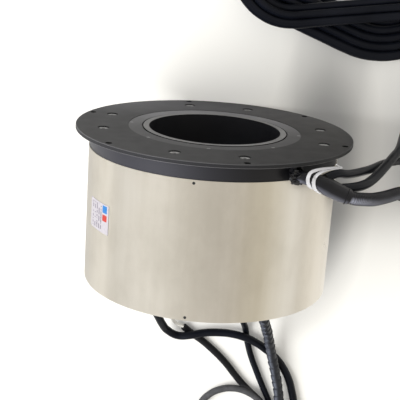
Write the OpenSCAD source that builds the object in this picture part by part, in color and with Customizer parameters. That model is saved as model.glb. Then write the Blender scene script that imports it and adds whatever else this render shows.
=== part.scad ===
// Through-bore slip ring with a round mounting flange, a thin steel housing
// and free cables on the fixed and on the turning side.
//
// The ring's axis lies along Y and the flange faces +Y, so the unit lies on its side.
// Every module of the ring itself is written about its own axis, with the flange
// face at height 0 and the housing below it, and along_axis() lays it down.

/* [Mounting flange] */
// Outside diameter of the mounting flange
flange_d = 280; // [278:1:320]
// Thickness of the mounting flange
flange_t = 4; // [4:0.5:7]
// Bevel on the flange's two outer edges
flange_bevel = 0.5; // [0.2:0.1:1]
// Number of mounting holes near the rim
rim_hole_count = 6; // [3:1:12]
// Pitch circle diameter of the mounting holes
rim_hole_pcd = 268; // [266:1:269]
// Diameter of the mounting holes, clear of an M6 screw
rim_hole_d = 6.6; // [5:0.1:7]
// Angle of the first mounting hole
rim_hole_angle = 43.5; // [0:0.5:60]
// Pitch circle diameter of the screws that hold the flange on its cap
plate_screw_pcd = 226.8; // [220:0.1:232]
// Thread diameter of those screws
plate_screw_d = 6; // [4:0.5:6]
// Head diameter of those countersunk screws
plate_screw_head_d = 11.8; // [9:0.1:12]
// Length of those screws
plate_screw_len = 14; // [10:1:16]
// Number of pairs of those screws
plate_screw_pairs = 4; // [2:1:6]
// Angle between the two screws of a pair
plate_screw_gap = 33; // [20:1:36]
// Angle of the middle of the first pair
plate_screw_angle = 88.5; // [60:0.5:100]

/* [Housing] */
// Outside diameter of the steel sleeve
sleeve_d = 252; // [250:1:258]
// Wall of the steel sleeve
sleeve_wall = 1.5; // [1:0.1:2]
// Depth of the sleeve's top edge below the flange face
sleeve_top = 20.5; // [19.5:0.1:24]
// Depth of the sleeve's bottom edge below the flange face
sleeve_bottom = 158.5; // [155:0.5:190]
// How far the dark cap band lies inside the sleeve's outside
band_inset = 0.8; // [0.3:0.1:1.4]
// Height of the spigot on which the sleeve seats
spigot_h = 11; // [8:0.5:14]
// Radial play between the sleeve and a spigot
spigot_play = 0.15; // [0.1:0.05:0.3]
// Wall of the upper cap's spigot ring
spigot_wall = 8; // [6:0.5:12]
// How far the lower cap lies inside the sleeve's bottom edge
lower_cap_inset = 0.6; // [0.2:0.1:2]
// Number of screws round each edge of the sleeve
edge_screw_count = 4; // [3:1:8]
// Diameter of those screws
edge_screw_d = 2.8; // [2:0.1:3.2]
// Length of those screws
edge_screw_len = 8; // [5:0.5:10]
// Distance from the sleeve's edge to those screws
edge_screw_inset = 3.2; // [2.5:0.1:4]
// Angle of the first of those screws
edge_screw_angle = 83; // [60:1:110]

/* [Bore and rotor tube] */
// Diameter of the through bore
bore_d = 133; // [128:0.5:133]
// Outside diameter of the rotor tube
tube_d = 139.6; // [139:0.1:139.6]
// Diameter of the collar that shows round the bore
collar_d = 144.6; // [143:0.1:145]
// Axial play between the collar and the bearing it clamps
collar_play = 0.05; // [0.02:0.01:0.2]
// Outside diameter of the end plate at the cable end
end_plate_d = 196; // [190:1:200]
// Thickness of the end plate
end_plate_t = 6; // [4:0.5:8]
// Gap between the end plate and the lower cap
end_plate_gap = 1; // [0.5:0.1:2]
// Number of threaded holes in the end plate for what the rotor drives
drive_hole_count = 6; // [3:1:12]
// Diameter of those holes
drive_hole_d = 4.2; // [3:0.1:5]
// Pitch circle diameter of those holes
drive_hole_pcd = 180; // [176:0.5:186]

/* [Bearings] */
// Inside diameter of a thin-section bearing
bearing_id = 139.7; // [139.7:0.1:140]
// Outside diameter of a thin-section bearing
bearing_od = 165.1; // [164:0.1:167]
// Width of a thin-section bearing
bearing_w = 12.7; // [10:0.1:14]
// Diameter of a bearing ball
ball_d = 6.3; // [5.5:0.05:6.5]
// Number of balls in a bearing
ball_count = 36; // [24:1:40]
// Running clearance of the balls in races and cage
ball_play = 0.05; // [0.03:0.01:0.1]
// Depth of a race groove
race_groove = 1.3; // [0.8:0.1:1.6]
// Radial thickness of the ball cage
cage_t = 2.2; // [1.6:0.1:2.6]
// Radial play of an outer race in its seat
seat_play = 0.03; // [0.02:0.01:0.1]
// Thickness of the cap's shoulder behind a bearing
shoulder_t = 2.7; // [2:0.1:4]
// How far that shoulder reaches in over the outer race
shoulder_lip = 3; // [2:0.5:4]

/* [Bearing covers] */
// Outside diameter of the cover recess
cover_d = 175; // [172:0.5:180]
// Inside diameter of a bearing cover
cover_id = 147.6; // [147:0.1:150]
// Play of a cover in its recess
cover_play = 0.2; // [0.1:0.05:0.4]
// How far a cover lies below the face round it
cover_sink = 0.3; // [0.1:0.1:0.8]
// Number of screws in a cover
cover_screw_count = 8; // [4:1:12]
// Pitch circle diameter of those screws
cover_screw_pcd = 170; // [169:0.1:170.4]
// Angle of the first of those screws
cover_screw_angle = 42; // [35:1:45]
// Diameter of those screws
cover_screw_d = 2; // [1.6:0.1:2.4]
// Head diameter of those screws
cover_screw_head_d = 3.8; // [3:0.1:4]
// Height of those heads
cover_screw_head_h = 1.2; // [0.8:0.1:1.5]
// Length of those screws
cover_screw_len = 9; // [6:0.5:12]
// Width of the lip seal under a cover
seal_w = 3; // [2:0.5:4]
// Height of the lip seal
seal_h = 2; // [1.5:0.5:2.5]
// Running clearance of the lip seal on the collar
seal_play = 0.06; // [0.03:0.01:0.1]

/* [Ring stack] */
// Number of wide power rings
power_ring_count = 4; // [2:1:4]
// Width of a power ring
power_ring_w = 9; // [6:0.5:9]
// Number of narrow signal rings
signal_ring_count = 8; // [4:1:8]
// Width of a signal ring
signal_ring_w = 4.5; // [3.5:0.1:4.5]
// Outside diameter of the rings
ring_d = 172; // [168:0.5:174]
// Radial thickness of the rings
ring_t = 5; // [3:0.5:6]
// Width of the barriers between rings
barrier_w = 2; // [1.5:0.1:2.2]
// Outside diameter of the barriers
barrier_d = 180; // [176:0.5:184]
// Depth of the wire groove in a signal ring
ring_groove = 0.8; // [0.4:0.1:1.2]
// Radial play between the ring stack and the rotor tube
stack_play = 0.05; // [0.05:0.01:0.2]
// Number of wire channels along the ring stack
channel_count = 8; // [4:1:12]
// Diameter of those wire channels
channel_d = 4; // [3:0.5:5]

/* [Brush gear] */
// Number of brush bars
brush_bar_count = 2; // [1:1:2]
// Angle of the first brush bar
brush_bar_angle = 40; // [35:1:45]
// Width of a brush bar along the ring
brush_bar_w = 30; // [26:1:34]
// Radial thickness of a brush bar
brush_bar_t = 9; // [7:0.5:10]
// Distance from the axis to a brush bar's inner face
brush_bar_r = 98; // [96:0.5:100]
// Width of a power brush round the ring
power_brush_w = 10; // [6:0.5:12]
// Play between a power brush and its ring
brush_play = 0.05; // [0.03:0.01:0.1]
// Diameter of a signal brush wire
wire_brush_d = 0.9; // [0.7:0.1:1.1]
// Half the spread of a signal brush's two wires at the bar
wire_brush_spread = 12; // [8:1:13]
// Number of posts that tie the caps together
post_count = 4; // [3:1:6]
// Diameter of a post
post_d = 8; // [6:0.5:9]
// Distance from the axis to a post's middle
post_r = 110; // [108:0.5:111]
// Angle of the first post
post_angle = 88; // [80:1:92]

/* [Label] */
// Width of the label round the sleeve, in degrees
label_angle = 17.5; // [10:0.5:30]
// Height of the label along the axis
label_h = 29.5; // [20:0.5:50]
// Thickness of the label
label_t = 0.25; // [0.1:0.05:0.4]
// Depth of the label's upper edge below the flange face
label_depth = 65; // [40:1:100]
// Angle of the label's first edge
label_start = 203.3; // [190:0.1:230]

/* [Cable outlet] */
// Angle of the fixed cable outlet round the cap
outlet_angle = 308; // [300:1:312]
// Depth of the outlet's middle below the flange face
outlet_depth = 12.5; // [12:0.1:13]
// Diameter of the outlet's gland
gland_d = 14.4; // [12:0.2:14.6]
// Diameter of the outlet's passage
passage_d = 11; // [8:0.5:11]
// Depth of the gland's seat in the cap
gland_seat = 5; // [3:0.5:7]
// Length of the gland beyond the cap
gland_out = 4; // [3:0.5:6]
// Diameter of the sleeved cable bundle
bundle_d = 17; // [12:0.5:17]
// Width of a white cable tie
tie_w = 4; // [3:0.5:5]
// Thickness of a white cable tie
tie_t = 1.1; // [0.8:0.1:1.5]

/* [Cables] */
// Diameter of the ribbed conduit of the fixed side
conduit_d = 13; // [10:0.5:13]
// Diameter of the second cable of the fixed side
stator_b_d = 8.5; // [6:0.5:8.5]
// Diameter of the third cable of the fixed side
stator_c_d = 9.5; // [7:0.5:9.5]
// Diameter of the first rotor cable
rotor_a_d = 9.5; // [6:0.5:9.5]
// Diameter of the second rotor cable
rotor_b_d = 8.5; // [6:0.5:8.5]
// Diameter of the third rotor cable
rotor_c_d = 7.5; // [5:0.5:7.5]
// Diameter of the wrapped rotor cable
rotor_d_d = 12.5; // [8:0.5:12.5]
// Diameter of the white lead bundle before the second rotor cable
lead_d = 4; // [3:0.5:4.5]
// Distance from the axis to the rotor cable outlets
rotor_outlet_r = 85; // [83:0.5:86]
// Angle between the rotor cable outlets
rotor_outlet_step = 30; // [28:1:32]
// Height of a rotor cable bushing
bushing_h = 5; // [3:0.5:8]

/* [Hidden] */
$fn = 96;
eps = 0.01;

// Radii and heights that follow from the sizes above
sleeve_r = sleeve_d / 2;
spigot_r = sleeve_r - sleeve_wall - spigot_play;
cap_bottom = sleeve_bottom - lower_cap_inset;
bearing_ir = bearing_id / 2;
bearing_or = bearing_od / 2;
ball_r = ball_d / 2;
ball_pitch_r = (bearing_ir + bearing_or) / 2;
race_play_r = ball_r + ball_play;
collar_r = collar_d / 2;
cap_inner_h = flange_t + bearing_w + shoulder_t;
shoulder_r = bearing_or - shoulder_lip;
end_plate_top = cap_bottom + end_plate_gap;
ring_r = ring_d / 2;
ring_ir = ring_r - ring_t;
channel_r = (tube_d / 2 + ring_ir) / 2;
stack_w = power_ring_count * (power_ring_w + barrier_w)
    + signal_ring_count * (signal_ring_w + barrier_w) + barrier_w;
inner_race_end = flange_t + bearing_w;
stack_top = (cap_bottom - stack_w) / 2;
floor_z = -flange_d / 2;

// Routes of the free cables, in the part's own frame, chosen by hand
bundle_route = [[81, -14.8, 109], [85, -15, 111.5], [96, -18, 110], [108, -22.5, 104], [120, -29, 95],
    [130, -37, 85]];
conduit_route = [[130, -37, 85], [135.5, -40, 80], [147, -44, 68], [160, -48.5, 50], [177, -53, 22],
    [198, -59, -18], [208, -68, -52], [220, -84, -86], [236, -100, -113], [260, -112, -129],
    [290, -110, -133.5]];
stator_b_route = [[105, -17, 100], [116, -14.5, 91], [125, -16.5, 82], [134, -18.5, 70], [144, -20, 55],
    [155, -22, 36], [166.5, -24, 12], [179, -26.5, -14], [192.5, -32, -44], [202.5, -36, -66],
    [212, -40, -80], [224, -40, -89.5], [236, -33, -95.5], [244, -20, -96.2], [247, -4, -96.2],
    [247, 14, -96.4], [244, 34, -101], [240, 58, -108], [238, 82, -113], [239, 104, -116],
    [243, 126, -116.75], [248, 145, -116.75], [252.4, 164.7, -116.75]];
stator_c_route = [[120, -26.5, 98], [128, -27, 92], [137.5, -27.5, 84], [147, -27.5, 72], [156.5, -26, 56],
    [167, -22, 36], [178, -18, 12], [188, -15, -12], [193, -13, -24], [199, -9, -48], [205, -3, -72],
    [211, 6, -96], [216, 18, -115], [219, 34, -128], [223, 53, -134], [230, 74, -135.25],
    [242, 97, -135.25], [258.3, 120.7, -135.25]];
rotor_a_route = [[-60, -169.9, -60], [-61, -190, -62], [-60, -212, -70], [-56, -234, -85],
    [-50, -254, -101], [-45, -270, -116], [-40, -280, -125], [-34, -286, -129.5], [-26, -288.5, -129.5],
    [-14, -286, -126.2], [3, -281.5, -126.4], [20, -279.7, -127], [36, -280, -127.4],
    [52, -283, -127.4], [60, -286, -128], [69, -291.5, -131.5], [81, -300.5, -135],
    [99, -316, -135.25], [111.5, -336, -135.25], [117.5, -352, -135.25], [121.5, -366.5, -135.25],
    [127, -379, -135.25], [137, -389, -135.25], [151, -395, -135.25], [170, -396.5, -135.25],
    [195, -393, -135.25], [221, -386, -135.25], [247, -382, -135.25]];
lead_route = [[-22, -169.9, -82], [-26, -194, -90], [-32, -221, -110], [-37, -246, -127],
    [-37, -263, -133], [-31, -273, -133.5], [-20.5, -278, -133.5]];
rotor_b_route = [[-20.5, -278, -133.5], [-15, -283.5, -135.2], [-6, -289.5, -135.75], [4.5, -296.5, -135.75],
    [16, -306, -135.75], [28, -317, -135.75], [39.5, -329.5, -135.75], [50, -342.5, -135.75],
    [61, -354, -135.75], [76.4, -368.6, -135.75]];
rotor_c_route = [[22, -169.9, -82], [26, -190, -85], [34, -214, -93], [43, -237, -104], [49.5, -257, -118.5],
    [52.5, -268, -130], [55, -277, -135.6], [57.5, -289, -136.25], [62.5, -307, -136.25], [69, -323, -136.25],
    [76, -339, -136.25], [83, -354, -136.25], [90.5, -369.5, -136.25], [97, -384, -136.25],
    [102, -399, -136.25], [107, -418, -136.25], [112, -445, -136.25]];
rotor_d_route = [[60, -169.9, -60], [62, -192, -64], [67, -216, -75], [73, -243, -92], [80, -268, -111],
    [85.5, -291, -122], [90, -308, -124.2], [94.5, -325, -125], [99, -343, -125.8], [102.5, -363, -125.6],
    [103.5, -385, -125.6], [102, -405, -126], [98, -426, -129.8], [91, -444, -133], [76, -462, -133.75],
    [50, -479, -133.75], [14, -494, -133.75], [-24, -508, -133.75], [-62, -514, -133.75]];

// Coils of the spare length: middle and mean radius
conduit_coil_at = [290, -45];
conduit_coil_r = 65;
rotor_a_coil_at = [247, -430];
rotor_a_coil_r = 48;
rotor_b_coil_at = [46, -399];
rotor_b_coil_r = 43;
rotor_c_coil_at = [150, -445];
rotor_c_coil_r = 38;
rotor_d_coil_at = [-62, -451];
rotor_d_coil_r = 63;

// The two long cables lie in long loops round two middles, the second cable on the third:
// [middle, outer radius] at each end of a loop
stator_c_loop = [[[84, 176], 82], [[172, 161], 100]];
stator_b_loop = [[[72, 160], 68], [[190, 178], 68]];
loop_layers = 2;

// Lays a shape made about the upright axis down along Y
module along_axis() {
    rotate([-90, 0, 0])
        children();
}

// Copies the children round the axis
module round_axis(count, first) {
    for (i = [0 : count - 1])
        rotate([0, 0, first + i * 360 / count])
            children();
}

// Copies the children to each screw of the flange's pairs
module each_plate_screw() {
    for (side = [-0.5, 0.5])
        round_axis(plate_screw_pairs, plate_screw_angle + side * plate_screw_gap)
            translate([plate_screw_pcd / 2, 0, 0])
                children();
}

// A ring between two radii and two depths below the flange face
module band(inner_r, outer_r, top, bottom) {
    translate([0, 0, -bottom])
        difference() {
            cylinder(r = outer_r, h = bottom - top);
            translate([0, 0, -1])
                cylinder(r = inner_r, h = bottom - top + 2);
        }
}

// Mirrors the upper bearing parts to the cable end of the housing
module at_lower_end() {
    translate([0, 0, -cap_bottom])
        mirror([0, 0, 1])
            children();
}

module mounting_flange() {
    color("#3a3a3e")
        along_axis()
            difference() {
                rotate_extrude($fn = 180)
                    polygon([[cover_d / 2, -flange_t],
                        [flange_d / 2 - flange_bevel, -flange_t],
                        [flange_d / 2, -flange_t + flange_bevel],
                        [flange_d / 2, -flange_bevel],
                        [flange_d / 2 - flange_bevel, 0],
                        [cover_d / 2, 0]]);
                round_axis(rim_hole_count, rim_hole_angle)
                    translate([rim_hole_pcd / 2, 0, -flange_t - 1])
                        cylinder(d = rim_hole_d, h = flange_t + 2, $fn = 32);
                each_plate_screw()
                    plate_screw_hole();
            }
}

// A clearance hole with a ninety-degree countersink
module plate_screw_hole() {
    sink_h = (plate_screw_head_d - plate_screw_d) / 2;
    translate([0, 0, -flange_t - 1])
        cylinder(d = plate_screw_d + 0.4, h = flange_t + 2, $fn = 32);
    translate([0, 0, -sink_h])
        cylinder(d1 = plate_screw_d + 0.4, d2 = plate_screw_head_d + 0.4, h = sink_h + eps, $fn = 32);
}

module flange_screws() {
    head_h = (plate_screw_head_d - plate_screw_d) / 2;
    color("silver")
        along_axis()
            each_plate_screw()
                difference() {
                    union() {
                        translate([0, 0, -plate_screw_len])
                            cylinder(d = plate_screw_d, h = plate_screw_len, $fn = 32);
                        translate([0, 0, -head_h - 0.1])
                            cylinder(d1 = plate_screw_d, d2 = plate_screw_head_d, h = head_h, $fn = 32);
                    }
                    translate([0, 0, -head_h])
                        cylinder(d = plate_screw_d * 0.66, h = head_h + 1, $fn = 6);
                }
}

// A flat cover with a recess for the lip seal, written for the upper end
module cover_shape() {
    difference() {
        band(cover_id / 2, cover_d / 2 - cover_play, cover_sink, flange_t);
        translate([0, 0, -flange_t - eps])
            cylinder(r = collar_r + seal_play + seal_w, h = seal_h + eps);
        round_axis(cover_screw_count, cover_screw_angle)
            translate([cover_screw_pcd / 2, 0, 0]) {
                translate([0, 0, -flange_t - 1])
                    cylinder(d = cover_screw_d + 0.2, h = flange_t + 2, $fn = 24);
                translate([0, 0, -cover_sink - cover_screw_head_h])
                    cylinder(d = cover_screw_head_d + 0.2, h = flange_t, $fn = 24);
            }
    }
}

module cover_screw_shapes() {
    round_axis(cover_screw_count, cover_screw_angle)
        translate([cover_screw_pcd / 2, 0, -cover_sink]) {
            translate([0, 0, -cover_screw_head_h])
                cylinder(d = cover_screw_head_d, h = cover_screw_head_h, $fn = 24);
            translate([0, 0, -cover_screw_len])
                cylinder(d = cover_screw_d, h = cover_screw_len - eps, $fn = 24);
        }
}

module seal_shape() {
    band(collar_r + seal_play, collar_r + seal_play + seal_w, flange_t - seal_h, flange_t);
}

module outer_race_shape() {
    face_r = ball_pitch_r + ball_r - race_groove + ball_play;
    rotate_extrude()
        difference() {
            translate([face_r, -inner_race_end])
                square([bearing_or - seat_play - face_r, bearing_w]);
            translate([ball_pitch_r, -flange_t - bearing_w / 2])
                circle(r = race_play_r, $fn = 48);
        }
}

module inner_race_shape() {
    face_r = ball_pitch_r - ball_r + race_groove - ball_play;
    rotate_extrude()
        difference() {
            translate([bearing_ir, -inner_race_end])
                square([face_r - bearing_ir, bearing_w]);
            translate([ball_pitch_r, -flange_t - bearing_w / 2])
                circle(r = race_play_r, $fn = 48);
        }
}

module ball_shapes() {
    round_axis(ball_count, 0)
        translate([ball_pitch_r, 0, -flange_t - bearing_w / 2])
            sphere(r = ball_r, $fn = 20);
}

module cage_shape() {
    difference() {
        band(ball_pitch_r - cage_t / 2, ball_pitch_r + cage_t / 2,
            flange_t + 1, inner_race_end - 1);
        round_axis(ball_count, 0)
            translate([ball_pitch_r - cage_t, 0, -flange_t - bearing_w / 2])
                rotate([0, 90, 0])
                    cylinder(r = race_play_r + 0.1, h = 2 * cage_t, $fn = 24);
    }
}

// The bearing seat, the shoulder behind it and the recess for the cover
module cap_bore(cover_depth) {
    translate([0, 0, -cap_inner_h - 1])
        cylinder(r = shoulder_r, h = cap_inner_h + 2);
    translate([0, 0, -inner_race_end])
        cylinder(r = bearing_or, h = inner_race_end + 1);
    translate([0, 0, -cover_depth])
        cylinder(r = cover_d / 2, h = cover_depth + 1);
    round_axis(cover_screw_count, cover_screw_angle)
        translate([cover_screw_pcd / 2, 0, -cover_sink - cover_screw_len])
            cylinder(d = cover_screw_d + 0.1, h = cover_screw_len, $fn = 24);
}

module edge_screw_holes(depth) {
    round_axis(edge_screw_count, edge_screw_angle)
        translate([sleeve_r - edge_screw_len - 1, 0, -depth])
            rotate([0, 90, 0])
                cylinder(d = edge_screw_d + 0.1, h = edge_screw_len + 3, $fn = 24);
}

module upper_end_cap() {
    spigot_bottom = sleeve_top + spigot_h;
    color("#26262a")
        along_axis()
            difference() {
                union() {
                    band(shoulder_r - 1, sleeve_r - band_inset, flange_t, sleeve_top);
                    band(spigot_r - spigot_wall, spigot_r, sleeve_top - 1, spigot_bottom);
                }
                cap_bore(flange_t - 1);
                each_plate_screw()
                    translate([0, 0, -plate_screw_len - 1])
                        cylinder(d = plate_screw_d + 0.1, h = plate_screw_len + 1, $fn = 32);
                edge_screw_holes(sleeve_top + edge_screw_inset);
                outlet_passage();
            }
}

// The way of the fixed wires: in through the cap's side and down into the housing
module outlet_passage() {
    down_d = passage_d - 2;
    rotate([0, 0, outlet_angle]) {
        translate([post_r - passage_d, 0, -outlet_depth])
            rotate([0, 90, 0])
                cylinder(d = passage_d, h = sleeve_r, $fn = 32);
        translate([sleeve_r - band_inset - gland_seat, 0, -outlet_depth])
            rotate([0, 90, 0])
                cylinder(d = gland_d + 0.1, h = sleeve_r, $fn = 32);
        translate([post_r - passage_d / 2, 0, -sleeve_top - spigot_h - 1])
            cylinder(d = down_d, h = sleeve_top + spigot_h + 1 - outlet_depth, $fn = 32);
    }
}

module lower_end_cap() {
    color("#2a2a2e")
        along_axis()
            difference() {
                at_lower_end()
                    difference() {
                        band(shoulder_r - 1, spigot_r, 0, cap_inner_h);
                        cap_bore(flange_t);
                    }
                edge_screw_holes(sleeve_bottom - edge_screw_inset);
            }
}

module housing_sleeve() {
    color("#c8c2b4")
        along_axis()
            difference() {
                band(sleeve_r - sleeve_wall, sleeve_r, sleeve_top, sleeve_bottom);
                edge_screw_holes(sleeve_top + edge_screw_inset);
                edge_screw_holes(sleeve_bottom - edge_screw_inset);
            }
}

module sleeve_screws() {
    color("#1c1c20")
        along_axis()
            for (depth = [sleeve_top + edge_screw_inset, sleeve_bottom - edge_screw_inset])
                round_axis(edge_screw_count, edge_screw_angle)
                    translate([sleeve_r - edge_screw_len, 0, -depth])
                        rotate([0, 90, 0])
                            cylinder(d = edge_screw_d, h = edge_screw_len, $fn = 24);
}

module bearing_cover() {
    color("#48484d")
        along_axis()
            cover_shape();
}

module lower_bearing_cover() {
    color("#48484d")
        along_axis()
            at_lower_end()
                cover_shape();
}

module cover_screws() {
    color("silver")
        along_axis()
            cover_screw_shapes();
}

module lower_cover_screws() {
    color("silver")
        along_axis()
            at_lower_end()
                cover_screw_shapes();
}

module rating_label() {
    color("#e8e8ec")
        along_axis()
            translate([0, 0, -label_depth - label_h])
                rotate([0, 0, label_start])
                    rotate_extrude(angle = label_angle)
                        translate([sleeve_r + eps, 0])
                            square([label_t, label_h]);
}

module upper_outer_race() {
    color("#9a9ca0")
        along_axis()
            outer_race_shape();
}

module upper_inner_race() {
    color("#9a9ca0")
        along_axis()
            inner_race_shape();
}

module upper_balls() {
    color("#d0d2d6")
        along_axis()
            ball_shapes();
}

module upper_cage() {
    color("#b89850")
        along_axis()
            cage_shape();
}

module lower_outer_race() {
    color("#9a9ca0")
        along_axis()
            at_lower_end()
                outer_race_shape();
}

module lower_inner_race() {
    color("#9a9ca0")
        along_axis()
            at_lower_end()
                inner_race_shape();
}

module lower_balls() {
    color("#d0d2d6")
        along_axis()
            at_lower_end()
                ball_shapes();
}

module lower_cage() {
    color("#b89850")
        along_axis()
            at_lower_end()
                cage_shape();
}

module upper_seal() {
    color("#141416")
        along_axis()
            seal_shape();
}

module lower_seal() {
    color("#141416")
        along_axis()
            at_lower_end()
                seal_shape();
}

// Posts from cap to cap, which keep the two bearings in line
module cap_posts() {
    color("#8a8c90")
        along_axis()
            round_axis(post_count, post_angle)
                translate([post_r, 0, -cap_bottom + cap_inner_h])
                    cylinder(d = post_d, h = cap_bottom - cap_inner_h - sleeve_top, $fn = 32);
}

// Upright bars between the caps that carry the brushes
module brush_bars() {
    color("#6b2a1c")
        along_axis()
            round_axis(brush_bar_count, brush_bar_angle)
                translate([brush_bar_r, -brush_bar_w / 2, -cap_bottom + cap_inner_h])
                    cube([brush_bar_t, brush_bar_w, cap_bottom - cap_inner_h - sleeve_top]);
}

function power_ring_top(i) = stack_top + barrier_w + i * (power_ring_w + barrier_w);
function signal_ring_top(i) = power_ring_top(power_ring_count) + i * (signal_ring_w + barrier_w);

// Carbon blocks that lie between a bar and a ring, hollowed to the ring's outside
module power_brushes() {
    color("#303034")
        along_axis()
            difference() {
                round_axis(brush_bar_count, brush_bar_angle)
                    for (i = [0 : power_ring_count - 1])
                        translate([ring_r - 1, -power_brush_w / 2,
                            -power_ring_top(i) - power_ring_w + 1])
                            cube([brush_bar_r - ring_r + 1, power_brush_w, power_ring_w - 2]);
                translate([0, 0, -cap_bottom])
                    cylinder(r = ring_r + brush_play, h = cap_bottom);
            }
}

// Two wires to a signal ring, which reach from the bar to the groove from both sides
module signal_brushes() {
    touch_r = ring_r - ring_groove + wire_brush_d / 2 + 2 * brush_play;
    reach = brush_bar_r - touch_r - wire_brush_d / 2;
    wire_len = sqrt(reach * reach + wire_brush_spread * wire_brush_spread);
    tilt = atan2(wire_brush_spread, reach);
    color("#c8a040")
        along_axis()
            round_axis(brush_bar_count, brush_bar_angle)
                for (i = [0 : signal_ring_count - 1], side = [-1, 1])
                    translate([touch_r, 0,
                        -signal_ring_top(i) - signal_ring_w / 2 + side * wire_brush_d * 0.6])
                        rotate([0, 0, side * tilt])
                            rotate([0, 90, 0])
                                cylinder(d = wire_brush_d, h = wire_len, $fn = 16);
}

// The tube with its bore, its collar and the grooves that lead wires past the lower bearing
module rotor_tube() {
    groove_top = cap_bottom - flange_t - bearing_w - 6;
    color("#55555a")
        along_axis()
            difference() {
                union() {
                    band(bore_d / 2, collar_r, 0, flange_t - collar_play);
                    band(bore_d / 2, tube_d / 2, flange_t - collar_play - 1, end_plate_top);
                }
                round_axis(channel_count, 0)
                    translate([tube_d / 2 - 1.6, -3, -end_plate_top - 1])
                        cube([4, 6, end_plate_top - groove_top]);
            }
}

// One moulded spool: a hub, a barrier beside each ring and channels for the wires
module ring_spool() {
    hub_bottom = cap_bottom - inner_race_end;
    hub_r = bearing_ir + 3;
    color("#d8cfae")
        along_axis()
            difference() {
                union() {
                    band(tube_d / 2 + stack_play, hub_r, inner_race_end, hub_bottom);
                    band(tube_d / 2 + stack_play, ring_ir, stack_top, stack_top + stack_w);
                    for (i = [0 : power_ring_count])
                        band(ring_ir - 1, barrier_d / 2, power_ring_top(i) - barrier_w,
                            power_ring_top(i));
                    for (i = [1 : signal_ring_count])
                        band(ring_ir - 1, barrier_d / 2, signal_ring_top(i) - barrier_w,
                            signal_ring_top(i));
                }
                round_axis(channel_count, 0)
                    translate([channel_r, 0, -stack_top - stack_w - 1])
                        cylinder(d = channel_d, h = stack_w, $fn = 24);
            }
}

module power_rings() {
    color("#c9a24a")
        along_axis()
            for (i = [0 : power_ring_count - 1])
                band(ring_ir, ring_r, power_ring_top(i), power_ring_top(i) + power_ring_w);
}

module signal_rings() {
    color("#d8b458")
        along_axis()
            for (i = [0 : signal_ring_count - 1])
                difference() {
                    band(ring_ir, ring_r, signal_ring_top(i), signal_ring_top(i) + signal_ring_w);
                    band(ring_r - ring_groove, ring_r + 1, signal_ring_top(i) + 1,
                        signal_ring_top(i) + signal_ring_w - 1);
                }
}

// Copies the children to the rotor's cable outlets, on its low side at rest
module each_rotor_outlet() {
    for (step = [-1.5, -0.5, 0.5, 1.5])
        rotate([0, 0, 90 + step * rotor_outlet_step])
            translate([rotor_outlet_r, 0, -end_plate_top - end_plate_t])
                children();
}

module rotor_end_plate() {
    boss_top = cap_bottom - flange_t + collar_play;
    color("#3c3c40")
        along_axis()
            difference() {
                union() {
                    band(bore_d / 2, end_plate_d / 2, end_plate_top, end_plate_top + end_plate_t);
                    band(tube_d / 2 + stack_play, collar_r, boss_top, end_plate_top + 1);
                }
                round_axis(drive_hole_count, 0)
                    translate([drive_hole_pcd / 2, 0, -end_plate_top - end_plate_t - 1])
                        cylinder(d = drive_hole_d, h = end_plate_t + 2, $fn = 24);
                each_rotor_outlet()
                    translate([0, 0, -1])
                        cylinder(d = lead_d + 3, h = end_plate_t + 2, $fn = 24);
            }
}

module rotor_bushings() {
    color("#1a1a1e")
        along_axis()
            each_rotor_outlet()
                translate([0, 0, -bushing_h])
                    difference() {
                        cylinder(d1 = rotor_d_d + 1, d2 = rotor_d_d + 4, h = bushing_h, $fn = 32);
                        translate([0, 0, -1])
                            cylinder(d = lead_d + 3, h = bushing_h + 2, $fn = 24);
                    }
}

// The short gland in the cap's side
module cable_gland() {
    color("#1a1a1e")
        along_axis()
            rotate([0, 0, outlet_angle])
                translate([sleeve_r - band_inset - gland_seat, 0, -outlet_depth])
                    rotate([0, 90, 0])
                        difference() {
                            cylinder(d = gland_d, h = gland_seat + gland_out, $fn = 32);
                            translate([0, 0, -1])
                                cylinder(d = passage_d - 1, h = gland_seat + gland_out + 2, $fn = 32);
                        }
}

// The lumpy taped elbow where the bundle turns away from the gland
module outlet_wrap() {
    start = bundle_route[0];
    color("#141416")
        union() {
            translate(start)
                sphere(d = bundle_d, $fn = 32);
            translate(start + [-2, -4, -1])
                sphere(d = bundle_d - 1, $fn = 32);
            translate(start + [-3, 2, 0])
                sphere(d = bundle_d - 3, $fn = 32);
        }
}

function unit(v) = v / norm(v);
function route_way(p, i) = unit(p[min(i + 1, len(p) - 1)] - p[max(i - 1, 0)]);

// A plain tube swept along a route
module swept(route, d, sides) {
    rings = [for (i = [0 : len(route) - 1])
        let (way = route_way(route, i),
            across = unit(cross(way, [0, 0, 1])),
            up = cross(across, way))
        for (k = [0 : sides - 1])
            route[i] + d / 2 * (cos(k * 360 / sides) * across + sin(k * 360 / sides) * up)];
    last = (len(route) - 1) * sides;
    walls = [for (i = [0 : len(route) - 2], k = [0 : sides - 1])
        let (a = i * sides + k, b = i * sides + (k + 1) % sides)
        each [[a, b, a + sides], [b, b + sides, a + sides]]];
    first_end = [for (k = [1 : sides - 2]) [0, k + 1, k]];
    last_end = [for (k = [1 : sides - 2]) [last, last + k, last + k + 1]];
    polyhedron(points = rings, faces = concat(walls, first_end, last_end));
}

// The closed outer shape of a coil that lies on the floor
module coil(at, mean_r, cable_d, across, high) {
    translate([at[0], at[1], floor_z])
        difference() {
            cylinder(r = mean_r + across * cable_d / 2, h = high * cable_d, $fn = 48);
            translate([0, 0, -1])
                cylinder(r = mean_r - across * cable_d / 2, h = high * cable_d + 2, $fn = 48);
        }
}

// The closed outer shape of a long loop of cable, with its layers on top of what lies below
module long_loop(ends, cable_d, across, bottom) {
    translate([0, 0, bottom])
        linear_extrude(loop_layers * cable_d)
            difference() {
                loop_outline(ends, 0);
                loop_outline(ends, across * cable_d);
            }
}

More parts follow.
